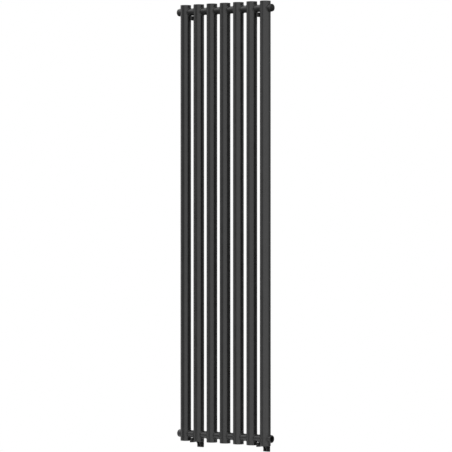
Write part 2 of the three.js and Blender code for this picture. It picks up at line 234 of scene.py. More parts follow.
TUBE_LOW, TUBE_HIGH = (Vector(corner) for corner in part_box("tube_1"))
TUBE_RADIUS = (TUBE_HIGH.x - TUBE_LOW.x) / 2
TUBE_HALF = (TUBE_HIGH.z - TUBE_LOW.z) / 2
TUBE_PLANE_Y = middle("tube_1").y
PIPE_LOW, PIPE_HIGH = (Vector(corner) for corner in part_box("manifold_top"))
MANIFOLD_RADIUS = (PIPE_HIGH.z - PIPE_LOW.z) / 2
MANIFOLD_HEIGHT = middle("manifold_top").z
MANIFOLD_HALF = PIPE_HIGH.x
PORT_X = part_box("port_bush_top_right")[1][0]
WALL_DISTANCE = -TUBE_PLANE_Y
PLATE_LOW, PLATE_HIGH = (Vector(corner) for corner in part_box("bracket_top_right"))
BRACKET_X = middle("bracket_top_right").x
PLATE_WIDTH = PLATE_HIGH.x - PLATE_LOW.x
PLATE_TOP = PLATE_HIGH.z - MANIFOLD_HEIGHT
PLATE_BOTTOM = PLATE_LOW.z - MANIFOLD_HEIGHT


# ---------------------------------------------------------------- mesh helpers
def rounded(points, radius=0.0, steps=4):
    """A closed outline with its corners turned into arcs. A point may carry its own radius."""
    outline = []
    for index, point in enumerate(points):
        here = Vector(point[:2])
        size = point[2] if len(point) > 2 else radius
        if size == 0:
            outline.append(here)
            continue
        back = (Vector(points[index - 1][:2]) - here).normalized()
        ahead = (Vector(points[(index + 1) % len(points)][:2]) - here).normalized()
        half = back.angle(ahead) / 2
        centre = here + (back + ahead).normalized() * size / math.sin(half)
        start = here + back * size / math.tan(half) - centre
        turn = math.pi - 2 * half
        if back.x * ahead.y - back.y * ahead.x > 0:
            turn = -turn
        for step in range(steps + 1):
            angle = turn * step / steps
            cos, sin = math.cos(angle), math.sin(angle)
            outline.append(centre + Vector((start.x * cos - start.y * sin, start.x * sin + start.y * cos)))
    return outline


def arc(centre, radius, first, last, steps):
    """Points on an arc, angles in degrees."""
    points = []
    for step in range(steps + 1):
        angle = math.radians(first + (last - first) * step / steps)
        points.append((centre[0] + radius * math.cos(angle), centre[1] + radius * math.sin(angle)))
    return points


def solid(name, points, faces):
    mesh = bpy.data.meshes.new(name)
    mesh.from_pydata([tuple(point) for point in points], [], faces)
    return tidied(mesh)


def tidied(mesh):
    """Merges doubled points and turns every face outwards."""
    work = bmesh.new()
    work.from_mesh(mesh)
    bmesh.ops.remove_doubles(work, verts=work.verts, dist=MERGE_DISTANCE)
    bmesh.ops.dissolve_degenerate(work, edges=work.edges, dist=SHORTEST_EDGE)
    bmesh.ops.recalc_face_normals(work, faces=work.faces)
    work.to_mesh(mesh)
    work.free()
    return mesh


def turned(name, profile, segments, thread=None):
    """A closed profile of (radius, height), turned about Z. A thread may move the radius."""
    points = []
    faces = []
    count = len(profile)
    for turn in range(segments):
        angle = 2 * math.pi * turn / segments
        for radius, height in profile:
            if thread:
                radius = thread(radius, height, angle)
            points.append((radius * math.cos(angle), radius * math.sin(angle), height))
    for turn in range(segments):
        here = turn * count
        following = (turn + 1) % segments * count
        for row in range(count):
            after = (row + 1) % count
            if max(profile[row][0], profile[after][0]) < ON_AXIS:
                continue
            faces.append((here + row, following + row, following + after, here + after))
    return solid(name, points, faces)


def bar(radius, low, high, segments):
    """A plain round bar along Z."""
    return turned("bar", [(0, low), (radius, low), (radius, high), (0, high)], segments)


def extruded(name, outline, thickness, holes=()):
    """An outline in XY, given thickness along Z about its middle."""
    curve = bpy.data.curves.new(name, "CURVE")
    curve.dimensions = "2D"
    curve.fill_mode = "BOTH"
    curve.extrude = thickness / 2
    for loop in (outline, *holes):
        spline = curve.splines.new("POLY")
        spline.points.add(len(loop) - 1)
        for point, place in zip(spline.points, loop):
            point.co = (place[0], place[1], 0, 1)
        spline.use_cyclic_u = True
    carrier = bpy.data.objects.new(name, curve)
    mesh = carrier.to_mesh().copy()
    bpy.data.objects.remove(carrier)
    bpy.data.curves.remove(curve)
    mesh.name = name
    return tidied(mesh)


def linked(name, data):
    """A new object, put in the scene."""
    item = bpy.data.objects.new(name, data)
    bpy.context.scene.collection.objects.link(item)
    return item


def modified(mesh, kind, **settings):
    """The mesh with one modifier applied."""
    carrier = linked("carrier", mesh)
    modifier = carrier.modifiers.new(kind, kind)
    for setting, value in settings.items():
        setattr(modifier, setting, value)
    evaluated = carrier.evaluated_get(bpy.context.evaluated_depsgraph_get())
    result = bpy.data.meshes.new_from_object(evaluated)
    result.name = mesh.name
    bpy.data.objects.remove(carrier)
    return result


def combined(mesh, other, operation):
    """UNION, DIFFERENCE or INTERSECT of two closed meshes."""
    tool = linked("tool", other)
    result = modified(mesh, "BOOLEAN", object=tool, operation=operation, solver="EXACT")
    bpy.data.objects.remove(tool)
    return tidied(result)


def bevelled(mesh, width):
    """The mesh with its sharp edges rounded off."""
    return modified(
        mesh, "BEVEL", width=width, segments=BEVEL_STEPS, limit_method="ANGLE",
        angle_limit=math.radians(SHARP_ANGLE), harden_normals=False, use_clamp_overlap=True,
    )


def swept(name, path, radius, sides, closed, ripple=0.0):
    """A round section swept along a path, with an optional ripple like a weld's."""
    points = []
    faces = []
    count = len(path)
    travelled = 0.0
    for index, place in enumerate(path):
        before = path[index - 1] if closed or index > 0 else place
        after = path[(index + 1) % count] if closed or index < count - 1 else place
        along = (after - before).normalized()
        side = along.cross(SWEEP_REFERENCE).normalized()
        across = along.cross(side)
        travelled += (place - path[index - 1]).length if index else 0
        size = radius * (1 + ripple * math.sin(2 * math.pi * travelled / WELD_RIPPLE_LENGTH))
        if not closed and index in (0, count - 1):
            size *= SWEEP_END
        for step in range(sides):
            angle = 2 * math.pi * step / sides
            points.append(place + (side * math.cos(angle) + across * math.sin(angle)) * size)
    for index in range(count if closed else count - 1):
        near = index * sides
        far = (index + 1) % count * sides
        for step in range(sides):
            after = (step + 1) % sides
            faces.append((near + step, near + after, far + after, far + step))
    if not closed:
        faces.append(tuple(range(sides)))
        faces.append(tuple((count - 1) * sides + step for step in range(sides)))
    return solid(name, points, faces)


def joined(name, meshes):
    """Several closed meshes as one."""
    work = bmesh.new()
    for mesh in meshes:
        work.from_mesh(mesh)
    result = bpy.data.meshes.new(name)
    work.to_mesh(result)
    work.free()
    return result


def moved(mesh, matrix):
    copy = mesh.copy()
    copy.transform(matrix)
    return copy


def shift(x=0.0, y=0.0, z=0.0):
    return Matrix.Translation((x, y, z))


# A piece turned about Z is stood along X; a piece extruded in XY is stood across X.
Z_TO_X = Matrix.Rotation(math.radians(90), 4, "Y")
ACROSS_X = Matrix(((0, 0, 1, 0), (1, 0, 0, 0), (0, 1, 0, 0), (0, 0, 0, 1)))


def facing(side):
    """Turns a piece that faces +X towards the left or right end."""
    return Matrix.Identity(4) if side > 0 else Matrix.Rotation(math.pi, 4, "Z")


def piece(name, mesh, matrix, body, slot, material, *nodes, sharp_angle=SHARP_ANGLE):
    """Puts one mesh in place as a piece of a body. The nodes are the CAD solids that it replaces, if any."""
    placed = moved(mesh, matrix)
    placed.materials.clear()
    placed.materials.append(material)
    placed.shade_smooth()
    placed.set_sharp_from_angle(angle=math.radians(sharp_angle))
    placed = modified(placed, "WEIGHTED_NORMAL", keep_sharp=True)
    placed.name = name
    item = linked(name, placed)
    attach(item, body)
    if nodes:
        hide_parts(*nodes)


# ---------------------------------------------------------------- materials
def feed(links, socket, value):
    """Sets a socket to a number, or links it to the output of another node."""
    if isinstance(value, (int, float)):
        socket.default_value = value
    else:
        links.new(value, socket)


def map_range(tree, value, low, high, first, last, curve="LINEAR"):
    """Runs from first to last while the value goes from low to high."""
    node = tree.nodes.new("ShaderNodeMapRange")
    node.interpolation_type = curve
    amounts = {"Value": value, "From Min": low, "From Max": high, "To Min": first, "To Max": last}
    for socket, amount in amounts.items():
        feed(tree.links, node.inputs[socket], amount)
    return node.outputs["Result"]


class Surface:
    """Builds one procedural material: a Principled shader with noise on colour, roughness and bump."""

    def __init__(self, name, metallic=0.0, specular=0.5):
        self.material = bpy.data.materials.new(name)
        self.material.use_nodes = True
        self.tree = self.material.node_tree
        self.nodes = self.tree.nodes
        self.links = self.tree.links
        self.shader = self.nodes["Principled BSDF"]
        self.shader.inputs["Metallic"].default_value = metallic
        self.shader.inputs["Specular IOR Level"].default_value = specular
        self.place = self.nodes.new("ShaderNodeTexCoord").outputs["Object"]

    def noise(self, scale, detail, roughness=0.5, stretch=None):
        node = self.nodes.new("ShaderNodeTexNoise")
        node.inputs["Scale"].default_value = scale
        node.inputs["Detail"].default_value = detail
        node.inputs["Roughness"].default_value = roughness
        place = self.place
        if stretch:
            mapping = self.nodes.new("ShaderNodeMapping")
            mapping.inputs["Scale"].default_value = stretch
            self.links.new(place, mapping.inputs["Vector"])
            place = mapping.outputs["Vector"]
        self.links.new(place, node.inputs["Vector"])
        return node.outputs["Fac"]

    def colour(self, value, first, last, low=NOISE_LOW, high=NOISE_HIGH):
        node = self.nodes.new("ShaderNodeValToRGB")
        node.color_ramp.elements[0].position = low
        node.color_ramp.elements[0].color = (*first, 1)
        node.color_ramp.elements[1].position = high
        node.color_ramp.elements[1].color = (*last, 1)
        self.links.new(value, node.inputs["Fac"])
        self.links.new(node.outputs["Color"], self.shader.inputs["Base Color"])

    def gloss(self, value, first, last, low=NOISE_LOW, high=NOISE_HIGH):
        """Lets the roughness wander between two values."""
        self.links.new(map_range(self.tree, value, low, high, first, last), self.shader.inputs["Roughness"])

    def bump(self, value, depth):
        node = self.nodes.new("ShaderNodeBump")
        node.inputs["Strength"].default_value = 1.0
        node.inputs["Distance"].default_value = depth
        self.links.new(value, node.inputs["Height"])
        self.links.new(node.outputs["Normal"], self.shader.inputs["Normal"])


def grey(value):
    """A near-neutral grey, the least bit blue."""
    return (value, value, value * 1.01)


def powder_coat():
    """Satin black powder coat: a fine orange peel, a touch of cloudiness in the gloss."""
    surface = Surface("powder_coat")
    peel = surface.noise(scale=420, detail=3.0, roughness=0.55)
    cloud = surface.noise(scale=24, detail=2.0)
    surface.colour(cloud, grey(0.0095), grey(0.0125))
    surface.gloss(cloud, 0.27, 0.33)
    surface.bump(peel, depth=0.00003)
    return surface.material


def bracket_coat():
    """The brackets' coat: the same black, flatter and a little grainier."""
    surface = Surface("bracket_coat", specular=0.3)
    grain = surface.noise(scale=700, detail=4.0, roughness=0.6)
    cloud = surface.noise(scale=40, detail=2.0)
    surface.colour(cloud, grey(0.007), grey(0.010))
    surface.gloss(grain, 0.38, 0.48)
    surface.bump(grain, depth=0.000035)
    return surface.material


def turned_fitting(name, specular, dark, pale, smoothest, roughest):
    """Turned brass under black coat: faint tool rings, and cloudy in colour and gloss."""
    surface = Surface(name, specular=specular)
    rings = surface.noise(scale=1400, detail=2.0, stretch=(0.02, 1, 1))
    cloud = surface.noise(scale=160, detail=3.0)
    surface.colour(cloud, grey(dark), grey(pale), high=WIDE_NOISE_HIGH)
    surface.gloss(cloud, smoothest, roughest)
    surface.bump(rings, depth=0.000008)
    return surface.material


def black_fitting():
    """The plug: its edges catch the light."""
    return turned_fitting("black_fitting", 0.6, dark=0.012, pale=0.018, smoothest=0.22, roughest=0.32)


def matt_fitting():
    """The vent's head: coated like the plug, but matt."""
    return turned_fitting("matt_fitting", 0.18, dark=0.009, pale=0.013, smoothest=0.38, roughest=0.46)


def black_plastic():
    """Moulded plastic with a fine spark-eroded grain."""
    surface = Surface("black_plastic", specular=0.25)
    grain = surface.noise(scale=2600, detail=3.0, roughness=0.6)
    surface.colour(grain, grey(0.009), grey(0.014))
    surface.gloss(grain, 0.40, 0.52)
    surface.bump(grain, depth=0.000012)
    return surface.material


def black_zinc():
    """Black zinc plate: dark metal with a cloudy sheen."""
    surface = Surface("black_zinc", metallic=0.85)
    cloud = surface.noise(scale=260, detail=4.0, roughness=0.6)
    surface.colour(cloud, grey(0.030), grey(0.060), high=WIDE_NOISE_HIGH)
    surface.gloss(cloud, 0.30, 0.44)
    surface.bump(cloud, depth=0.000008)
    return surface.material


def rubber():
    """Seal rubber, matt with a fine bloom."""
    surface = Surface("rubber", specular=0.3)
    bloom = surface.noise(scale=1500, detail=3.0)
    surface.colour(bloom, grey(0.006), grey(0.011))
    surface.gloss(bloom, 0.70, 0.85)
    surface.bump(bloom, depth=0.00001)
    return surface.material


def painted_shade_thread():
    """Machined steel inside the ports, dull; its near-black colour is painted shade, the darkness deep in the
    bore.
    """
    surface = Surface("painted_shade_thread", specular=0.12)
    cloud = surface.noise(scale=300, detail=3.0)
    surface.colour(cloud, grey(0.004), grey(0.007))
    surface.gloss(cloud, 0.75, 0.9)
    surface.bump(cloud, depth=0.00001)
    return surface.material


def bare_steel():
    """Uncoated steel inside the manifold: brushed, with dull patches."""
    surface = Surface("bare_steel", metallic=1.0)
    brushed = surface.noise(scale=900, detail=3.0, roughness=0.6, stretch=(1, 0.05, 1))
    patches = surface.noise(scale=140, detail=4.0)
    surface.colour(patches, (0.17, 0.165, 0.16), (0.30, 0.295, 0.29), high=WIDE_NOISE_HIGH)
    surface.gloss(patches, 0.32, 0.5)
    surface.bump(brushed, depth=0.00001)
    return surface.material


COAT = powder_coat()
BRACKET_COAT = bracket_coat()
FITTING = black_fitting()
MATT_FITTING = matt_fitting()
PLASTIC = black_plastic()
ZINC = black_zinc()
RUBBER = rubber()
THREAD_PAINTED_SHADE = painted_shade_thread()
STEEL = bare_steel()


# ---------------------------------------------------------------- tubes and manifolds
def tube_mesh():
    """One tube, with its lips eased, bored across for both manifolds."""
    inner = TUBE_RADIUS - TUBE_WALL
    near = 1.4 * MANIFOLD_RADIUS
    levels = [up * MANIFOLD_HEIGHT + step for _, up in LEVELS for step in (-near, near)]
    profile = [(inner, -TUBE_HALF), (TUBE_RADIUS, -TUBE_HALF, TUBE_LIP)]
    profile += [(TUBE_RADIUS, level, 0) for level in levels]
    profile += [(TUBE_RADIUS, TUBE_HALF, TUBE_LIP), (inner, TUBE_HALF)]
    profile += [(inner, level) for level in reversed(levels)]
    mesh = turned("tube", rounded(profile), ROUND)
    reach = 1.5 * TUBE_RADIUS
    bore = moved(bar(MANIFOLD_RADIUS + BORE_CLEARANCE, -reach, reach, FINE), Z_TO_X)
    for _, up in LEVELS:
        mesh = combined(mesh, moved(bore, shift(z=up * MANIFOLD_HEIGHT)), "DIFFERENCE")
    return mesh


def cap_mesh():
    """An end cap: a disc just under the tube's lip, with the ground weld round its rim."""
    rim = TUBE_RADIUS - TUBE_WALL - CAP_GAP
    middle_radius = rim - CAP_BEAD_RADIUS
    profile = [
        (0, -CAP_THICKNESS), (rim - CAP_CHAMFER, -CAP_THICKNESS), (rim, -CAP_THICKNESS + CAP_CHAMFER),
        (rim, -CAP_RECESS),
    ]
    for step in range(1, CAP_BEAD_STEPS):
        angle = math.pi * step / CAP_BEAD_STEPS
        height = CAP_BEAD_HEIGHT * math.sin(angle)
        profile.append((middle_radius + CAP_BEAD_RADIUS * math.cos(angle), -CAP_RECESS + height))
    profile += [(rim - 2 * CAP_BEAD_RADIUS - EASE, -CAP_RECESS), (0, -CAP_RECESS + CAP_CROWN)]
    return turned("cap", profile, ROUND)


def add_tubes():
    tube = tube_mesh()
    cap = cap_mesh()
    for index in range(1, TUBE_COUNT + 1):
        x = tube_x(index)
        upright = shift(x, TUBE_PLANE_Y)
        piece(f"round_tube_{index}", tube, upright, "radiator", "powder_coat", COAT, f"tube_{index}")
        for level, up in LEVELS:
            place = shift(x, TUBE_PLANE_Y, up * TUBE_HALF)
            if up < 0:
                place = place @ Matrix.Rotation(math.pi, 4, "X")
            node = f"tube_cap_{level}_{index}"
            piece(f"end_cap_{level}_{index}", cap, place, "radiator", "powder_coat", COAT, node)


def manifold_mesh():
    """A manifold pipe with a water hole, up and down, inside each tube."""
    inner = MANIFOLD_RADIUS - MANIFOLD_WALL
    centres = [tube_x(index) for index in range(1, TUBE_COUNT + 1)]
    near = 1.3 * WATER_HOLE_RADIUS
    stations = [centre + step for centre in centres for step in (-near, near)]
    outside = [(MANIFOLD_RADIUS, -MANIFOLD_HALF, EASE)]
    outside += [(MANIFOLD_RADIUS, station, 0) for station in stations]
    outside += [(MANIFOLD_RADIUS, MANIFOLD_HALF, EASE)]
    inside = [(inner, MANIFOLD_HALF)]
    inside += [(inner, station) for station in reversed(stations)]
    inside += [(inner, -MANIFOLD_HALF)]
    pipe = moved(turned("manifold", rounded(outside + inside), FINE), Z_TO_X)
    reach = 1.2 * MANIFOLD_RADIUS
    drill = bar(WATER_HOLE_RADIUS, -reach, reach, SMALL)
    drills = joined("drills", [moved(drill, shift(x=centre)) for centre in centres])
    return combined(pipe, drills, "DIFFERENCE")


def junction_weld(side):
    """The bead where the manifold leaves a tube: it follows the line where the two rounds meet."""
    steps = 160
    ring = MANIFOLD_RADIUS + WELD_SINK
    path = []
    for step in range(steps):
        angle = 2 * math.pi * step / steps
        y, z = ring * math.cos(angle), ring * math.sin(angle)
        x = math.sqrt(TUBE_RADIUS ** 2 - y ** 2) + WELD_SINK / 2
        path.append(Vector((side * x, y, z)))
    return swept("junction_weld", path, WELD_RADIUS, sides=14, closed=True, ripple=0.035)


def seam_weld(side):
    """The flatter bead that joins a port bush to the pipe's end."""
    steps = 140
    ring = MANIFOLD_RADIUS - SEAM_SINK
    path = []
    for step in range(steps):
        angle = 2 * math.pi * step / steps
        path.append(Vector((side * MANIFOLD_HALF, ring * math.cos(angle), ring * math.sin(angle))))
    return swept("seam_weld", path, SEAM_RADIUS, WELD_SIDES, closed=True, ripple=0.04)


def lug_welds():
    """The beads down both faces of a lug, where it sits on the manifold's back."""
    welds = []
    start = math.degrees(math.asin(LUG_BOTTOM / MANIFOLD_RADIUS))
    finish = math.degrees(math.asin(LUG_WELD_SHARE * LUG_TOP / MANIFOLD_RADIUS))
    for _, side in SIDES:
        line = arc((0, 0), MANIFOLD_RADIUS, start, finish, steps=40)
        path = [Vector((side * LUG_THICKNESS / 2, y, z)) for y, z in line]
        weld = swept("lug_weld", path, LUG_WELD_RADIUS, WELD_SIDES, closed=False, ripple=LONG_WELD_RIPPLE)
        welds.append(weld)
    return welds


def add_manifolds():
    pipe = manifold_mesh()
    for level, up in LEVELS:
        place = shift(0, TUBE_PLANE_Y, up * MANIFOLD_HEIGHT)
        piece(f"manifold_pipe_{level}", pipe, place, "radiator", "powder_coat", COAT, f"manifold_{level}")
        beads = []
        for _, side in SIDES:
            ring = junction_weld(side)
            beads += [moved(ring, shift(x=tube_x(index))) for index in range(1, TUBE_COUNT + 1)]
            beads.append(seam_weld(side))
            beads += [moved(bead, shift(x=side * BRACKET_X)) for bead in lug_welds()]
        name = f"welds_{level}"
        welds = joined(name, beads)
        piece(name, welds, place, "radiator", "powder_coat", COAT, sharp_angle=WELD_SHARP_ANGLE)


# ---------------------------------------------------------------- ports, plug and vent
def helix(pitch, depth, first, last):
    """A V thread between two heights: moves a radius outwards by up to its depth, less near both ends."""

    def thread(radius, height, angle):
        if not first <= height <= last or radius < THREAD_LEAST_RADIUS:
            return radius
        phase = (height / pitch - angle / (2 * math.pi)) % 1
        wave = 1 - abs(2 * phase - 1)
        fade = min(1, (height - first) / pitch, (last - height) / pitch)
        return radius + depth * max(0, fade) * wave

    return thread


def rows(radius, start, end, pitch):
    """Closely spaced points down a threaded wall."""
    count = round(abs(end - start) / (pitch / THREAD_ROWS_PER_PITCH))
    return [(radius, start + (end - start) * step / count) for step in range(count + 1)]


def port_bush_mesh():
    """A port bush without its thread, face at height 0: eased flange and the rim of the countersink."""
    barrel = MANIFOLD_RADIUS - MANIFOLD_WALL - LOOSE_FIT
    return turned("bush", rounded([
        (THREAD_SLEEVE_RADIUS, THREAD_SLEEVE_RADIUS - PORT_MOUTH_RADIUS), (PORT_MOUTH_RADIUS, 0, HAIR_EASE),
        (MANIFOLD_RADIUS, 0, PORT_FACE_EASE), (MANIFOLD_RADIUS, -PORT_FLANGE, FINE_EASE),
        (barrel, -PORT_FLANGE), (barrel, -PORT_DEPTH), (THREAD_SLEEVE_RADIUS, -PORT_DEPTH),
    ]), FINE)


def port_thread_mesh():
    """The inside of a port bush: a G 1/2 female thread that runs out into the countersink."""
    outside = THREAD_SLEEVE_RADIUS - THREAD_SLEEVE_GAP
    top = PORT_BORE_RADIUS - PORT_MOUTH_RADIUS
    profile = [(outside, outside - PORT_MOUTH_RADIUS), (outside, -PORT_DEPTH)]
    profile += [(PORT_BORE_RADIUS, -PORT_DEPTH)]
    profile += rows(PORT_BORE_RADIUS, -PORT_DEPTH + THREAD_START, top, THREAD_PITCH)
    wave = helix(THREAD_PITCH, THREAD_DEPTH, -PORT_DEPTH, top + THREAD_PITCH / 2)
    return turned("thread", profile, FINE, wave)


def fitting_side(mouth):
    """The turned outside that the plug and the vent share, from the stem's end up to the face."""
    stem = PORT_BORE_RADIUS - LOOSE_FIT
    groove = SEAL_HEIGHT + SEAL_SECTION_RADIUS + HEAD_SEAT
    side = [(stem - STEM_CHAMFER, -STEM_DEPTH), (stem, -STEM_DEPTH + STEM_CHAMFER)]
    side += rows(stem, -STEM_DEPTH + STEM_CHAMFER + THREAD_START, -2 * STEM_CHAMFER, THREAD_PITCH)
    side += [(stem, groove), (GROOVE_RADIUS, groove), (GROOVE_RADIUS, HEAD_SEAT)]
    side += rounded([
        (GROOVE_RADIUS, HEAD_SEAT), (HEAD_RADIUS, HEAD_SEAT, FINE_EASE),
        (HEAD_RADIUS, HEAD_RIM_HEIGHT, HEAD_RIM_EASE), (HEAD_CROWN_RADIUS, HEAD_HEIGHT, HEAD_CROWN_EASE),
        (mouth, HEAD_HEIGHT),
    ], steps=6)
    return side


def fitting_thread():
    """The male thread of the plug and the vent, a little shallower than the port's."""
    return helix(THREAD_PITCH, THREAD_DEPTH - RUNNING_FIT, -STEM_DEPTH + STEM_CHAMFER, -MALE_THREAD_TOP)


def hex_prism(across_flats, low, high):
    return bar(across_flats / math.sqrt(3), low, high, 6)


def blind_plug_mesh():
    """The plug, with a hexagon socket whose corners open into a shallow round mouth."""
    profile = [(0, -STEM_DEPTH)] + fitting_side(PLUG_FACE_RADIUS) + [(0, HEAD_HEIGHT)]
    blank = turned("plug", profile, ROUND, fitting_thread())
    socket = hex_prism(SOCKET_ACROSS_FLATS, HEAD_HEIGHT - SOCKET_DEPTH, HEAD_HEIGHT + CUT_OVERSHOOT)
    plug = combined(blank, socket, "DIFFERENCE")
    corner = SOCKET_ACROSS_FLATS / math.sqrt(3)
    floor = HEAD_HEIGHT - SOCKET_MOUTH_DEPTH
    past = HEAD_HEIGHT + FINE_EASE
    cone = [(0, floor), (corner - SOCKET_MOUTH_DEPTH, floor), (corner + FINE_EASE, past), (0, past)]
    return combined(plug, turned("mouth", cone, FINE), "DIFFERENCE")


def seal_mesh():
    """An O-ring, in the groove under the head."""
    path = [Vector((x, y, SEAL_HEIGHT)) for x, y in arc((0, 0), SEAL_RADIUS, 0, 360, ROUND)[:-1]]
    return swept("seal", path, SEAL_SECTION_RADIUS, sides=16, closed=True)


def vent_body_mesh():
    """The vent's body: a recess for the collar round a hub, and a bore down to the bleed screw's seat."""
    bore = SCREW_RADIUS + RUNNING_FIT
    cone = bore - SCREW_TIP_RADIUS
    inside = rounded([
        (RECESS_RADIUS + FINE_EASE, HEAD_HEIGHT, HAIR_EASE), (RECESS_RADIUS, HEAD_HEIGHT - EASE, HAIR_EASE),
        (RECESS_RADIUS, RECESS_FLOOR, EASE), (HUB_RADIUS, RECESS_FLOOR, FINE_EASE),
        (HUB_RADIUS, HUB_HEIGHT, EASE), (bore, HUB_HEIGHT, FINE_EASE), (bore, -SEAT_DEPTH + cone),
        (SCREW_TIP_RADIUS, -SEAT_DEPTH), (SCREW_TIP_RADIUS, -STEM_DEPTH),
    ], steps=3)
    profile = fitting_side(RECESS_RADIUS + RECESS_RIM) + inside
    return turned("vent", profile, ROUND, fitting_thread())


def vent_outlet_mesh():
    """The loose collar with its nozzle."""
    inner = HUB_RADIUS + RUNNING_FIT
    outer = RECESS_RADIUS - RUNNING_FIT
    floor = RECESS_FLOOR + RUNNING_FIT
    root = floor + NOZZLE_SINK
    collar = turned("collar", rounded([
        (inner, floor, HAIR_EASE), (outer, floor, FINE_EASE), (outer, OUTLET_HEIGHT, COLLAR_EDGE),
        (inner, OUTLET_HEIGHT, FINE_EASE),
    ]), ROUND)
    spout = turned("spout", rounded([
        (0, root), (NOZZLE_RADIUS, root), (NOZZLE_RADIUS, NOZZLE_HEIGHT, EASE), (0, NOZZLE_HEIGHT),
    ]), SMALL)
    drill = bar(NOZZLE_HOLE_RADIUS, 0, NOZZLE_DRILL_END, TINY)
    place = shift(x=NOZZLE_OFFSET)
    outlet = combined(collar, moved(spout, place), "UNION")
    return combined(outlet, moved(drill, place), "DIFFERENCE")


def bleed_screw_mesh():
    """The screw, point down: a cone for the seat, and a driver slot across its top."""
    tip = -SEAT_DEPTH + SEAT_GAP
    cone = SCREW_RADIUS - SCREW_TIP_RADIUS
    pin = turned("pin", rounded([
        (0, tip), (SCREW_TIP_RADIUS, tip, HAIR_EASE), (SCREW_RADIUS, tip + cone, FINE_EASE),
        (SCREW_RADIUS, OUTLET_HEIGHT, EASE), (0, OUTLET_HEIGHT),
    ]), SMALL)
    half = SLOT_WIDTH / 2
    reach = 2 * SCREW_RADIUS
    slot = extruded("slot", [(-reach, -half), (reach, -half), (reach, half), (-reach, half)], 2 * SLOT_DEPTH)
    return combined(pin, moved(slot, shift(z=OUTLET_HEIGHT)), "DIFFERENCE")


def add_ports():
    bush = port_bush_mesh()
    thread = port_thread_mesh()
    for level, up in LEVELS:
        for end, side in SIDES:
            place = shift(side * PORT_X, TUBE_PLANE_Y, up * MANIFOLD_HEIGHT) @ facing(side) @ Z_TO_X
            node = f"port_bush_{level}_{end}"
            piece(f"port_{level}_{end}", bush, place, "radiator", "powder_coat", COAT, node)
            # The thread inside each port has a near-black colour that paints the shade deep in the bore.
            piece(f"thread_{level}_{end}", thread, place, "radiator", "powder_coat", THREAD_PAINTED_SHADE)


def add_fittings():
    left = shift(-PORT_X, TUBE_PLANE_Y, MANIFOLD_HEIGHT) @ facing(-1) @ Z_TO_X
    right = shift(PORT_X, TUBE_PLANE_Y, MANIFOLD_HEIGHT) @ Z_TO_X
    seal = seal_mesh()
    piece("plug", blind_plug_mesh(), left, "radiator", "black_fitting", FITTING, "blind_plug")
    piece("plug_o_ring", seal, left, "radiator", "rubber", RUBBER, "blind_plug_seal")
    piece("vent_body", vent_body_mesh(), right, "radiator", "black_fitting", MATT_FITTING, "air_vent_body")
    piece("vent_o_ring", seal, right, "radiator", "rubber", RUBBER, "air_vent_seal")
    collar = vent_outlet_mesh()
    piece("vent_collar", collar, right, "vent_outlet", "black_plastic", PLASTIC, "air_vent_outlet")
    piece("vent_screw", bleed_screw_mesh(), right, "bleed_screw", "black_zinc", ZINC, "bleed_screw")


def add_diverter():
    """The disc, with a small hole in it, that closes the bottom manifold after the first tube."""
    radius = MANIFOLD_RADIUS - MANIFOLD_WALL - RUNNING_FIT
    half = DIVERTER_THICKNESS / 2
    disc = turned("disc", rounded([
        (DIVERTER_HOLE_RADIUS, -half), (radius, -half, FINE_EASE), (radius, half, FINE_EASE),
        (DIVERTER_HOLE_RADIUS, half),
    ]), FINE)
    place = Matrix.Translation(middle("flow_diverter")) @ Z_TO_X
    piece("diverter_disc", disc, place, "radiator", "bare_steel", STEEL, "flow_diverter")


# ---------------------------------------------------------------- wall brackets and hangers
def strap_mesh():
    """The arm: a strap bent into a U round a vertical line, then cut to its side view."""
    inner = RIB_GAP / 2
    outer = inner + RIB_THICKNESS
    end = WALL_DISTANCE - PLATE_THICKNESS + STRAP_SINK
    plan = [(outer, end)] + arc((0, NOSE_CENTRE), outer, 0, -180, NOSE_STEPS) + [(-outer, end), (-inner, end)]
    plan += arc((0, NOSE_CENTRE), inner, -180, 0, NOSE_STEPS) + [(inner, end)]
    past_nose = NOSE_CENTRE - 2 * outer
    side = rounded([
        (past_nose, SADDLE_FLOOR), (SADDLE_BACK, SADDLE_FLOOR, SADDLE_EASE),
        (SADDLE_BACK, RIB_SHOULDER, ARM_EASE), (end, RIB_TOP), (end, RIB_FOOT),
        (FOOT_FRONT, RIB_FOOT, FOOT_EASE), (ARM_BACK, ARM_BOTTOM, ARM_EASE), (past_nose, ARM_BOTTOM),
    ], steps=8)
    upright = extruded("strap", plan, 3 * WALL_DISTANCE)
    across = moved(extruded("side", side, 4 * outer), ACROSS_X)
    return bevelled(combined(upright, across, "INTERSECT"), STRAP_BEVEL)


def plate_mesh():
    """The plate that lies on the wall, with its screw holes."""
    side = PLATE_WIDTH / 2
    corners = [(-side, PLATE_BOTTOM), (side, PLATE_BOTTOM), (side, PLATE_TOP), (-side, PLATE_TOP)]
    outline = rounded(corners, PLATE_CORNER, steps=6)
    holes = [arc(spot, SCREW_HOLE_RADIUS, 0, 360, steps=36)[:-1] for spot in SCREW_HOLES]
    flat = bevelled(extruded("plate", outline, PLATE_THICKNESS, holes), BEVEL)
    stand = Matrix.Rotation(math.radians(90), 4, "X")
    return moved(flat, shift(y=WALL_DISTANCE - PLATE_THICKNESS / 2) @ stand)


def bracket_mesh():
    """Plate and strap in one, drilled across for the bolt."""
    drill = moved(bar(BOLT_RADIUS + LOOSE_FIT, -RIB_GAP, RIB_GAP, SMALL), Z_TO_X)
    bracket = combined(plate_mesh(), strap_mesh(), "UNION")
    return combined(bracket, moved(drill, shift(y=BOLT_BACK, z=BOLT_HEIGHT)), "DIFFERENCE")


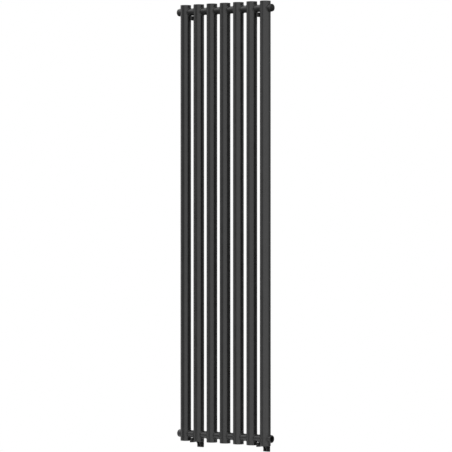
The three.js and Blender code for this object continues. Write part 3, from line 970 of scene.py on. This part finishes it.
def bracket_welds():
    """The beads down the outside of each rib, where it meets the plate."""
    beads = []
    outer = RIB_GAP / 2 + RIB_THICKNESS
    steps = 60
    low = RIB_FOOT + BRACKET_WELD_INSET
    length = RIB_TOP - RIB_FOOT - 2 * BRACKET_WELD_INSET
    for _, side in SIDES:
        path = []
        for step in range(steps + 1):
            height = low + length * step / steps
            path.append(Vector((side * outer, WALL_DISTANCE - PLATE_THICKNESS, height)))
        beads.append(swept(
            "bracket_weld", path, BRACKET_WELD_RADIUS, WELD_SIDES, closed=False, ripple=LONG_WELD_RIPPLE,
        ))
    return beads


def lug_mesh():
    """A lug with its open slot, which drops over the bracket's bolt."""
    seat = MANIFOLD_RADIUS - LUG_SINK
    low = math.degrees(math.asin(LUG_BOTTOM / seat))
    high = math.degrees(math.asin(LUG_TOP / seat)) - LUG_TOP_CUT
    front = BOLT_BACK - LUG_SLOT_RADIUS
    back = BOLT_BACK + LUG_SLOT_RADIUS
    outline = arc((0, 0), seat, high, low, steps=12)
    top_front = outline[0][0]
    outline += [(front, LUG_BOTTOM)]
    outline += arc((BOLT_BACK, BOLT_HEIGHT), LUG_SLOT_RADIUS, 180, 0, steps=16)
    outline += [(back, LUG_BOTTOM)]
    outline += rounded([
        (back, LUG_BOTTOM), (LUG_BACK, LUG_BOTTOM, FOOT_EASE), (LUG_BACK, LUG_TOP, LUG_TOP_EASE),
        (top_front, LUG_TOP),
    ])[1:]
    return moved(bevelled(extruded("lug", outline, LUG_THICKNESS), BEVEL), ACROSS_X)


def chamfered_hex(low, high, both_ends):
    """A hexagon with its corners turned off, as a bolt head or a nut has them."""
    corner = HEX_ACROSS_FLATS / math.sqrt(3)
    face = HEX_FACE_SHARE * HEX_ACROSS_FLATS / 2
    ease = (corner - face) * math.tan(math.radians(30))
    profile = [(0, low), (face, low), (corner, low + ease)]
    profile += [(corner, high - ease), (face, high)] if both_ends else [(corner, high)]
    profile += [(0, high)]
    return combined(hex_prism(HEX_ACROSS_FLATS, low, high), turned("ease", profile, FINE), "INTERSECT")


def bolt_mesh():
    """Along Z: head at the low end, shank, and a threaded end."""
    head = chamfered_hex(-STRAP_FACE - BOLT_HEAD, -STRAP_FACE, False)
    root = BOLT_RADIUS - BOLT_THREAD_DEPTH
    start = -STRAP_FACE - CUT_OVERSHOOT
    profile = [(0, start), (BOLT_RADIUS, start), (BOLT_RADIUS, BOLT_SHANK_END)]
    profile += rows(root, BOLT_THREAD_START, BOLT_END - BOLT_CHAMFER - THREAD_START, BOLT_PITCH)
    profile += [(root - BOLT_CHAMFER, BOLT_END), (0, BOLT_END)]
    wave = helix(BOLT_PITCH, BOLT_THREAD_DEPTH, BOLT_THREAD_START, BOLT_END - BOLT_CHAMFER)
    return combined(head, turned("shank", profile, BOLT_ROUND, wave), "UNION")


def nut_mesh():
    """Along Z, on the bolt's threaded end, with its bore eased at both mouths."""
    top = STRAP_FACE + NUT_THICKNESS
    blank = chamfered_hex(STRAP_FACE, top, True)
    bore = BOLT_RADIUS + HAIR_EASE
    mouth = bore + CUT_OVERSHOOT
    low = STRAP_FACE - CUT_OVERSHOOT
    high = top + CUT_OVERSHOOT
    profile = [(0, low), (mouth, low), (bore, STRAP_FACE + BEVEL)]
    profile += [(bore, top - BEVEL), (mouth, high), (0, high)]
    return combined(blank, turned("bore", profile, BOLT_ROUND), "DIFFERENCE")


def add_brackets():
    bracket = bracket_mesh()
    beads = joined("bracket_beads", bracket_welds())
    lug = lug_mesh()
    bolt = bolt_mesh()
    nut = nut_mesh()
    for level, up in LEVELS:
        for end, side in SIDES:
            spot = f"{level}_{end}"
            place = shift(side * BRACKET_X, TUBE_PLANE_Y, up * MANIFOLD_HEIGHT)
            hole = place @ shift(y=BOLT_BACK, z=BOLT_HEIGHT) @ Z_TO_X
            holder = "wall_brackets"
            coat = BRACKET_COAT
            name = f"bracket_welds_{spot}"
            piece(f"wall_bracket_{spot}", bracket, place, holder, "bracket_coat", coat, f"bracket_{spot}")
            piece(name, beads, place, holder, "bracket_coat", coat, sharp_angle=WELD_SHARP_ANGLE)
            piece(f"cross_bolt_{spot}", bolt, hole, holder, "black_zinc", ZINC, f"hanger_bolt_{spot}")
            piece(f"cross_nut_{spot}", nut, hole, holder, "black_zinc", ZINC, f"hanger_nut_{spot}")
            piece(f"lug_{spot}", lug, place, "radiator", "powder_coat", COAT, f"hanger_lug_{spot}")


# ---------------------------------------------------------------- studio and camera
def studio_world():
    """Soft studio light all round: bright at the right and above the front, dimmer at the left and behind.

    An azimuth is measured from straight in front towards the right; a height is a unit direction's Z.
    """
    world = bpy.data.worlds.new("studio")
    bpy.context.scene.world = world
    world.use_nodes = True
    tree = world.node_tree
    nodes = tree.nodes
    links = tree.links

    def math_node(operation, first, second):
        node = nodes.new("ShaderNodeMath")
        node.operation = operation
        feed(links, node.inputs[0], first)
        feed(links, node.inputs[1], second)
        return node.outputs["Value"]

    def smooth(value, low, high, first, last):
        return map_range(tree, value, low, high, first, last, "SMOOTHSTEP")

    def round_to(start, end, first, last):
        """From first to last between two azimuths, in degrees."""
        return smooth(azimuth, math.radians(start), math.radians(end), first, last)

    def up_to(start, end, first, last):
        """From first to last between two heights."""
        return smooth(height, start, end, first, last)

    split = nodes.new("ShaderNodeSeparateXYZ")
    links.new(nodes.new("ShaderNodeTexCoord").outputs["Generated"], split.inputs["Vector"])
    x, y, height = (split.outputs[name] for name in "XYZ")
    azimuth = math_node("ARCTAN2", x, math_node("MULTIPLY", y, -1))

    # The bright side, which ends a little further round above the horizon than below it
    opening = round_to(-8, 14, 0, 1)
    lag = up_to(-0.10, 0.10, math.radians(22), 0)
    closing = smooth(math_node("ADD", azimuth, lag), math.radians(98), math.radians(150), 1, 0)
    window = math_node("MULTIPLY", opening, closing)

    # What fills the rest of the way round
    left = round_to(-25, -95, 0.23, 0.85)
    right = up_to(-0.10, 0.10, 0.03, 0.50)
    front = round_to(40, 90, left, right)
    behind = round_to(-170, -125, right, front)
    glow_right = round_to(75, 125, 0.7, 0.15)
    glow = round_to(-170, -125, 0.15, glow_right)
    dim_side = math_node("ADD", behind, up_to(0.0, 0.28, 0.0, glow))

    sides = smooth(window, 0, 1, dim_side, BRIGHT_SIDE)
    overhead_right = round_to(60, 125, 2.0, 0.5)
    overhead = round_to(-170, -125, 0.5, overhead_right)
    above = up_to(0.25, 0.75, sides, overhead)
    level = up_to(-0.55, -0.25, 0.10, above)

    lighting = nodes.new("ShaderNodeBackground")
    backdrop = nodes.new("ShaderNodeBackground")
    for node, strength in ((lighting, level), (backdrop, BACKDROP)):
        node.inputs["Color"].default_value = (1, 1, 1, 1)
        feed(links, node.inputs["Strength"], strength)
    choose = nodes.new("ShaderNodeMixShader")
    links.new(nodes.new("ShaderNodeLightPath").outputs["Is Camera Ray"], choose.inputs["Fac"])
    links.new(lighting.outputs["Background"], choose.inputs[1])
    links.new(backdrop.outputs["Background"], choose.inputs[2])
    links.new(choose.outputs["Shader"], nodes["World Output"].inputs["Surface"])


def soft_box():
    """A tall panel of light close in front, brightening to the right. The camera doesn't see it."""
    left, right = -0.42, 0.50
    brightest_from = 0.16
    dim_end = 0.24
    half_height = 1.3
    distance = 1.0
    surface = bpy.data.materials.new("soft_box")
    surface.use_nodes = True
    tree = surface.node_tree
    nodes = tree.nodes
    links = tree.links
    nodes.remove(nodes["Principled BSDF"])
    split = nodes.new("ShaderNodeSeparateXYZ")
    links.new(nodes.new("ShaderNodeTexCoord").outputs["Object"], split.inputs["Vector"])
    strength = map_range(tree, split.outputs["X"], left, brightest_from, dim_end, BRIGHT_SIDE, "SMOOTHSTEP")
    light = nodes.new("ShaderNodeEmission")
    links.new(strength, light.inputs["Strength"])
    links.new(light.outputs["Emission"], nodes["Material Output"].inputs["Surface"])
    panel = bpy.data.meshes.new("soft_box")
    corners = [(left, -half_height), (right, -half_height), (right, half_height), (left, half_height)]
    panel.from_pydata([(x, TUBE_PLANE_Y - distance, z) for x, z in corners], [], [(0, 1, 2, 3)])
    panel.materials.append(surface)
    box = linked("soft_box", panel)
    box.visible_camera = False


def studio_floor():
    """A plain pale floor, a round sheet a little way under the radiator."""
    radius = 1.05
    thickness = 0.02
    drop = 0.15
    segments = 128
    outline = rounded([(0, -thickness), (radius, -thickness, 0.004), (radius, 0, 0.008), (0, 0)])
    disc = turned("floor", outline, segments)
    surface = Surface("pale_floor", specular=0.2)
    grain = surface.noise(scale=6, detail=3.0)
    surface.colour(grain, (0.86, 0.86, 0.86), (0.90, 0.90, 0.90), low=0.2, high=0.8)
    surface.gloss(grain, 0.7, 0.8, low=0.2, high=0.8)
    disc.materials.append(surface.material)
    disc.transform(shift(0, TUBE_PLANE_Y, -TUBE_HALF - drop))
    linked("floor", disc)


def add_camera():
    """A long lens, level, a little above mid height and well to the right of square on."""
    azimuth = math.radians(36.6)
    distance = 9.49
    height = 0.070
    data = bpy.data.cameras.new("camera")
    data.sensor_width = 36
    data.lens = 207.9
    data.shift_x = 0.002
    data.shift_y = -0.049
    data.clip_end = 60
    camera = linked("camera", data)
    camera.location = (distance * math.sin(azimuth), TUBE_PLANE_Y - distance * math.cos(azimuth), height)
    camera.rotation_euler = (math.radians(90), 0, azimuth)
    bpy.context.scene.camera = camera


studio_world()
soft_box()
studio_floor()
add_camera()
add_tubes()
add_manifolds()
add_ports()
add_fittings()
add_diverter()
add_brackets()

bpy.context.scene.view_settings.view_transform = "Standard"
